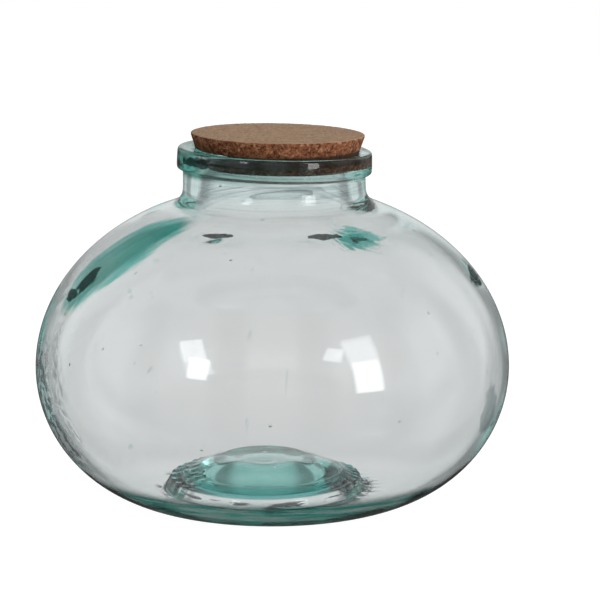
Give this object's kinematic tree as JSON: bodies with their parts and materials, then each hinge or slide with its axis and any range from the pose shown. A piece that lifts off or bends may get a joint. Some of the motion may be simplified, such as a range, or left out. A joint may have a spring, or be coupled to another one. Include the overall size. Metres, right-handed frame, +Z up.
{
  "type": "glass jar with cork lid",
  "caption": "Squat round-bellied storage jar of thick recycled glass with a short neck and a heavy lip, closed by a tapered pressed-cork lid that lifts out of the mouth.",
  "frame": {"origin": "middle of the foot, on the surface that the jar stands on", "axes": "+Z up along the axis of the jar and the lid; X and Y are level, and -Y is the side that the picture shows"},
  "size_m": [0.29, 0.29, 0.2293],
  "materials": {
    "recycled_glass": "polished",
    "pressed_cork": "matte"
  },
  "bodies": {
    "jar": {"glass_jar": "recycled_glass"},
    "lid": {"cork_lid": "pressed_cork"}
  },
  "joints": [
    {"name": "lid_lift", "type": "slide", "parent": "jar", "child": "lid", "axis": [0, 0, 1], "range_m": [0, 0.15]}
  ]
}
